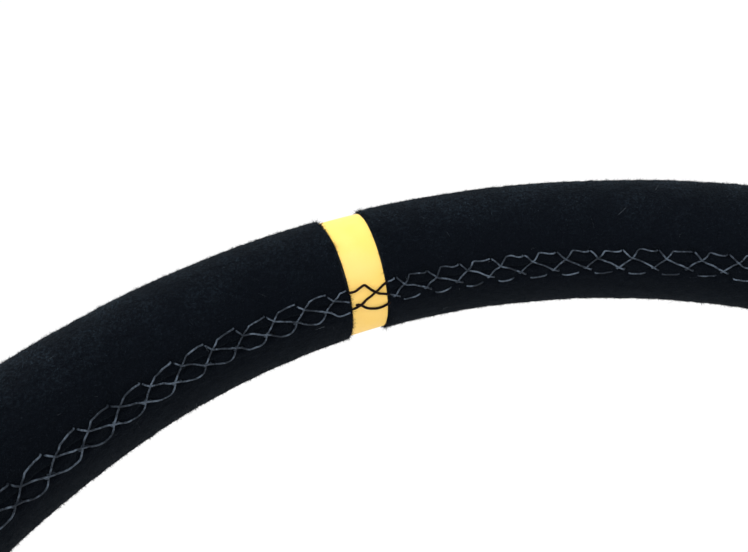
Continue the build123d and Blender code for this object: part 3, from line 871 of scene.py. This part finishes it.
def machinedFinish(name, colour, ringScale, dull=0.28):
    # turned metal: fine rings round the steering axis
    f = Finish(name)
    distance, along = f.aroundAxis()
    sockets = {"X": distance * ringScale, "Y": along * ringScale}
    rings = f.noise(1.0, 2.0, place=f.out("ShaderNodeCombineXYZ", None, sockets))
    smears = f.noise(70.0, 4.0, 0.6)
    edge = f.edges(0.0005)
    shade = f.mix(f.ramp(smears, 0.35, 0.7), [c * 0.84 for c in colour], colour)
    shade = f.mix(edge * 0.6, shade, [min(1.0, c * 1.25) for c in colour])
    return f.set(Base_Color=shade, Metallic=1.0, Roughness=dull + rings * 0.1 + smears * 0.12,
                 Normal=f.bump(rings, 0.00003))


def wireFinish(name, colour):
    f = Finish(name)
    drawn = f.noise(900.0, 3.0)
    shade = f.mix(f.ramp(drawn, 0.3, 0.7), [c * 0.75 for c in colour], colour)
    return f.set(Base_Color=shade, Metallic=1.0, Roughness=0.3 + drawn * 0.15,
                 Normal=f.bump(drawn, 0.00002))


def ballFinish():
    f = Finish("bearingSteel")
    smears = f.noise(600.0, 3.0)
    return f.set(Base_Color=(0.78, 0.78, 0.79), Metallic=1.0, Roughness=0.06 + smears * 0.1)


def plasticFinish(name, colour, dull, texture):
    f = Finish(name)
    grain = f.cells(texture, "SMOOTH_F1")
    smears = f.noise(55.0, 3.0)
    shade = f.mix(f.ramp(smears, 0.3, 0.7), colour, [c * 1.3 for c in colour])
    return f.set(Base_Color=shade, Roughness=dull + smears * 0.12, Normal=f.bump(grain, 0.00003))


def rubberFinish():
    f = Finish("nitrileRubber")
    grain = f.noise(1500.0, 2.0)
    return f.set(Base_Color=(0.012, 0.012, 0.013), Roughness=0.55 + grain * 0.2,
                 Normal=f.bump(grain, 0.00003))


def foamFinish():
    f = Finish("mouldedFoam")
    pores = f.cells(900.0)
    colour = f.mix(f.ramp(pores, 0.1, 0.5), (0.01, 0.01, 0.01), (0.035, 0.035, 0.036))
    return f.set(Base_Color=colour, Roughness=0.9, Normal=f.bump(pores, 0.0002))


blackSuede = suedeFinish()
suedeNap, lint = napFinish(), lintFinish()
greyThread = threadFinish("greyThread", (0.010, 0.015, 0.023), (0.092, 0.120, 0.158), 0.2)
blackThread = threadFinish("blackThread", (0.004, 0.0015, 0.001), (0.016, 0.007, 0.004), 0.1)
springSteel = wireFinish("springSteel", (0.30, 0.30, 0.31))
blackAnodised = anodisedFinish("blackAnodised", (0.010, 0.010, 0.011), (0.42, 0.42, 0.43))
partFinishes = {
    "spoke_plate": blackAnodised,
    "trim_ring": blackAnodised,
    "release_collar": anodisedFinish("collarAnodised", (0.012, 0.012, 0.014), (0.5, 0.5, 0.5), 2200.0),
    "wheel_boss": machinedFinish("turnedAluminium", (0.60, 0.61, 0.63), 5200.0),
    "locking_sleeve": machinedFinish("zincPlated", (0.50, 0.51, 0.53), 3600.0, 0.22),
    "column_spindle": machinedFinish("turnedSteel", (0.40, 0.40, 0.41), 3000.0, 0.26),
    "sleeve_circlip": wireFinish("clipSteel", (0.12, 0.12, 0.125)),
    "wheel_bolts": wireFinish("blackOxide", (0.05, 0.05, 0.052)),
    "sleeve_screws": wireFinish("screwOxide", (0.06, 0.06, 0.062)),
    "rim_core": wireFinish("ringSteel", (0.4, 0.4, 0.41)),
    "rim_foam": foamFinish(),
    "spindle_o_ring": rubberFinish(),
    "horn_housing": plasticFinish("blackNylon", (0.014, 0.014, 0.015), 0.5, 2400.0),
    "horn_cap": plasticFinish("glossBlack", (0.011, 0.011, 0.012), 0.14, 700.0),
}
brass = machinedFinish("stampedBrass", (0.83, 0.62, 0.30), 2600.0, 0.3)
for name in ("horn_fixed_contact", "horn_moving_contact", "horn_spring_seat", "horn_terminals"):
    partFinishes[name] = brass
polished = ballFinish()
for name in nodes:
    if name.startswith("lock_ball"):
        partFinishes[name] = polished
for name, material in partFinishes.items():
    giveMaterial(nodes[name], material)
print("stage: finishes given")

# Camera
# Aim and distance are shares of the rim's radius, angles are in degrees, and the lens and its
# sensor in millimetres.
view = {
    "aim": (0.0363, 0.9803),  # right and up from the middle of the rim, in its plane
    "away": 1.2862,
    "round": -19.38,
    "rise": 35.79,
    "tilt": -4.40,
    "lens": 36.19,
    "sensor": 36.0,
    "clip": (0.005, 20.0),  # nearest and farthest that it sees, in metres
}


def makeCamera():
    side, rise, tilt = (math.radians(view[k]) for k in ("round", "rise", "tilt"))
    back = Vector((math.sin(side) * math.cos(rise), -math.sin(rise), -math.cos(side) * math.cos(rise)))
    right = Vector((math.cos(side), 0, math.sin(side)))
    top = back.cross(right)
    turnedRight = math.cos(tilt) * right + math.sin(tilt) * top
    turnedTop = -math.sin(tilt) * right + math.cos(tilt) * top
    aim = Vector((view["aim"][0] * rimRadius, rimY, view["aim"][1] * rimRadius))
    camera = bpy.data.objects.new("camera", bpy.data.cameras.new("camera"))
    camera.data.lens, camera.data.sensor_width = view["lens"], view["sensor"]
    camera.data.clip_start, camera.data.clip_end = view["clip"]
    place = Matrix((turnedRight, turnedTop, back)).transposed().to_4x4()
    place.translation = aim + back * view["away"] * rimRadius
    camera.matrix_world = place
    bpy.context.scene.collection.objects.link(camera)
    bpy.context.scene.camera = camera


# Light and floor
studio = {
    "sky": 1.02,
    "horizon": 0.78,
    "skyBand": (-0.05, 0.38),  # from the horizon's light to the full sky's
    "haze": 0.3,  # that the sky is lighter where it meets the floor
    "hazeBand": (0.1, 0.0),
    "floorDrop": 0.002,
    "floorRadius": 12.0,
    "floorColour": (0.94, 0.94, 0.94),
    "key": {"place": (-0.8, -1.1, 1.35), "size": 1.2, "watts": 7.5},
    "fill": {"place": (-0.9, -1.2, -0.05), "size": 1.0, "watts": 16.0},
    "rim": {"place": (-0.7, 0.9, 1.2), "size": 0.9, "watts": 7.0},
}


def makeLight(name, place, size, watts):
    lamp = bpy.data.lights.new(name, "AREA")
    lamp.size, lamp.energy = size, watts
    holder = bpy.data.objects.new(name, lamp)
    holder.location = place
    holder.rotation_euler = (-Vector(place)).to_track_quat("-Z", "Y").to_euler()
    bpy.context.scene.collection.objects.link(holder)


def makeSky():
    world = bpy.data.worlds.new("softbox")
    world.use_nodes = True
    bpy.context.scene.world = world
    g = Graph(world.node_tree)
    up = g.outs("ShaderNodeSeparateXYZ", None, {0: g.out("ShaderNodeTexCoord", output=0)})[2]
    share = g.ramp(up, *studio["skyBand"])
    strength = studio["horizon"] + share * (studio["sky"] - studio["horizon"])
    strength = strength + g.ramp(up, *studio["hazeBand"]) * studio["haze"]
    background = world.node_tree.nodes["Background"]
    g.feed(background.inputs["Color"], (1.0, 1.0, 1.0))
    g.feed(background.inputs["Strength"], strength)


def makeFloor():
    mesh = bpy.data.meshes.new("floor")
    level = cadLow.z - studio["floorDrop"]
    shape = bmesh.new()
    bmesh.ops.create_circle(shape, cap_ends=True, segments=96, radius=studio["floorRadius"],
                            matrix=Matrix.Translation((0, 0, level)))
    shape.to_mesh(mesh)
    shape.free()
    floor = bpy.data.objects.new("floor", mesh)
    bpy.context.scene.collection.objects.link(floor)
    f = Finish("paleFloor")
    giveMaterial(floor, f.set(Base_Color=studio["floorColour"], Roughness=0.7))


makeCamera()
makeSky()
for name in ("key", "fill", "rim"):
    makeLight(name, **studio[name])
makeFloor()
bpy.context.scene.view_settings.view_transform = "Standard"
print("stage: camera and studio ready")

# Build the grip
stitchTree, napTree, springTree = makeStitchTree(), makeNapTree(), makeSpringTree()
markerAlong = markerHalf * innerRadius / millimetre
seamStart = markerAlong + seam["marginUnder"]
quarter = math.pi / 2 * innerRadius / millimetre  # from twelve o'clock to a spoke's middle
spokeAlong = spokeHalf / millimetre + seam["spokeGap"]
gap = suede["gapHalf"] * millimetre / rimRadius
markerEdge = markerHalf + 3 * gap
quarterTurn = math.pi / 2
sleeves = {
    # clock places of both ends, the side whose stitches it has, where its seam starts and
    # stops, and the clock places of its spokes
    "upper_right": (gap, quarterTurn - markerEdge, "right",
                    (seamStart, quarter - spokeAlong), (0.0,)),
    "upper_left": (quarterTurn + markerEdge, 2 * quarterTurn - gap, "left",
                   (spokeAlong - quarter, -seamStart), (2 * quarterTurn,)),
    "lower_left": (2 * quarterTurn + gap, 3 * quarterTurn - gap, "left",
                   (spokeAlong - 2 * quarter, -quarter - spokeAlong),
                   (2 * quarterTurn, 3 * quarterTurn)),
    "lower_right": (gap - quarterTurn, -gap, "right",
                    (quarter + spokeAlong, 2 * quarter - spokeAlong), (0.0, -quarterTurn)),
}


def makeStitches(name, node, threads, row, start, end, thread, lift, rise, material, slot):
    # row: where the first repeat is, how far apart they are and how many
    first, pitch, count = row
    lengths = {"First": first, "Pitch": pitch, "From": start, "To": end, "Thread": thread,
               "Lift": lift, "Rise": rise, "Wander": seam["wander"]}
    inputs = {key: value * millimetre for key, value in lengths.items()}
    inputs |= {"Count": count, "Seed": 0.0, "Sides": seam["sides"], "Finish": material}
    piece = fromTree(name, stitchTree, inputs, "wheel", threadMesh(threads))
    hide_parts(node)


for number, (name, (start, stop, side, seamRange, spokes)) in enumerate(sleeves.items()):
    sleeve = makeSleeve(f"sleeve_{name}", f"suede_{name}", start, stop, side, seamRange, spokes,
                        number * 10.0, blackSuede)
    skin = outerSkin(sleeve, lambda clock: True)
    fringe = outerSkin(sleeve, nearEnds(start, stop))
    fibres = makeNap(f"nap_{name}", skin.copy(), "all", number, suedeNap, napTree)
    fibres += makeNap(f"nap_{name}", fringe, "ends", number, suedeNap, napTree)
    makeNap(f"nap_{name}", skin, "lint", number, lint, napTree)
    places = crossings(side, *seamRange)
    row = (places[0], seam[side]["pitch"], len(places))
    makeStitches(f"stitches_{name}", f"seam_thread_{name}", laceThreads(side), row, *seamRange,
                 seam["thread"], 0.0, seam[side]["rise"], greyThread, "thread_grey")
    print("stage: sleeve", name, len(sleeve.data.polygons), "faces and", fibres, "of nap")
giveMaterial(nodes["centre_marker"], markerFinish())
reach = markerAlong + seam["marginUnder"]
makeStitches("stitches_marker", "marker_thread", markerThreads(), (0.0, 1.0, 1), -reach, reach,
             seam["markerThread"], -markerSink / millimetre, 0.0, blackThread, "thread_black")
makeHornSign(plasticFinish("signWhite", (0.55, 0.55, 0.55), 0.4, 900.0))
for name, spring in springs.items():
    makeSpring(name, **spring, material=springSteel, tree=springTree)
print("stage: grip and springs made")
